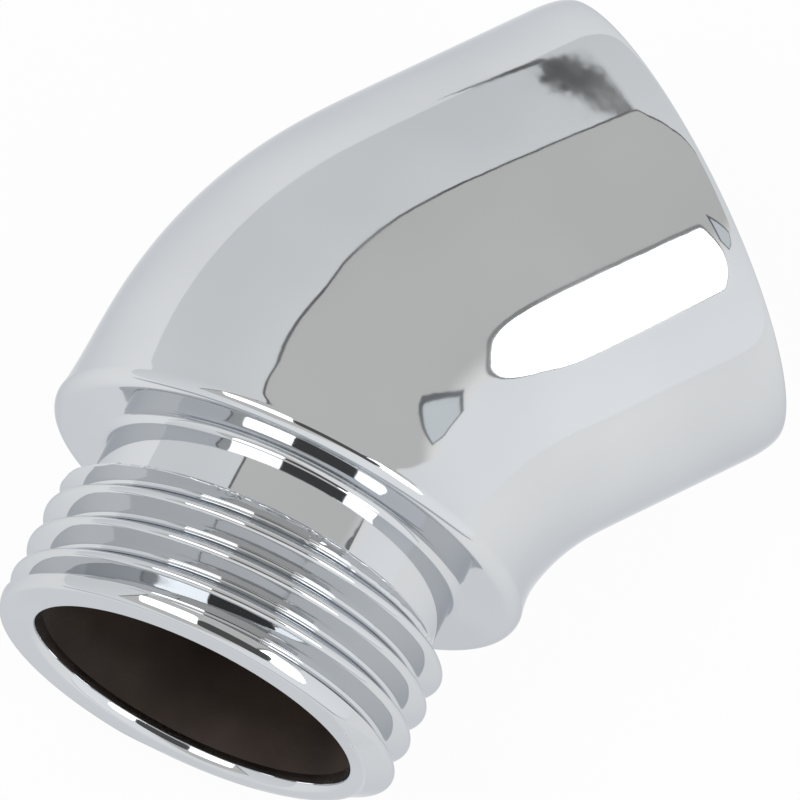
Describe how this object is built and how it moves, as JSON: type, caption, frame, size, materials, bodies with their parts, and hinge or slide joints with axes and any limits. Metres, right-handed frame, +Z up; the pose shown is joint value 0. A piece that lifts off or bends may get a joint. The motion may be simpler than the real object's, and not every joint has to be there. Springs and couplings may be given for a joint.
{
  "type": "shower hose elbow adapter",
  "caption": "Polished chrome pipe elbow with a threaded socket at one end and a threaded nose at the other. It screws onto a shower valve or wall outlet and turns the hose connection to an angle.",
  "frame": {"origin": "centre of the socket's mouth, in the plane of the socket's end face", "axes": "+X points out of the socket, the elbow bends in the XY plane so that the threaded nose points to -X and -Y, and +Z is up as the elbow lies on its side"},
  "size_m": [0.0386, 0.0317, 0.025],
  "materials": {
    "chrome_plate": "polished chrome plate on cast brass",
    "washer_rubber": "matte black rubber"
  },
  "bodies": {
    "root": {"elbow_body": "chrome_plate", "sealing_washer": "washer_rubber"}
  },
  "joints": []
}
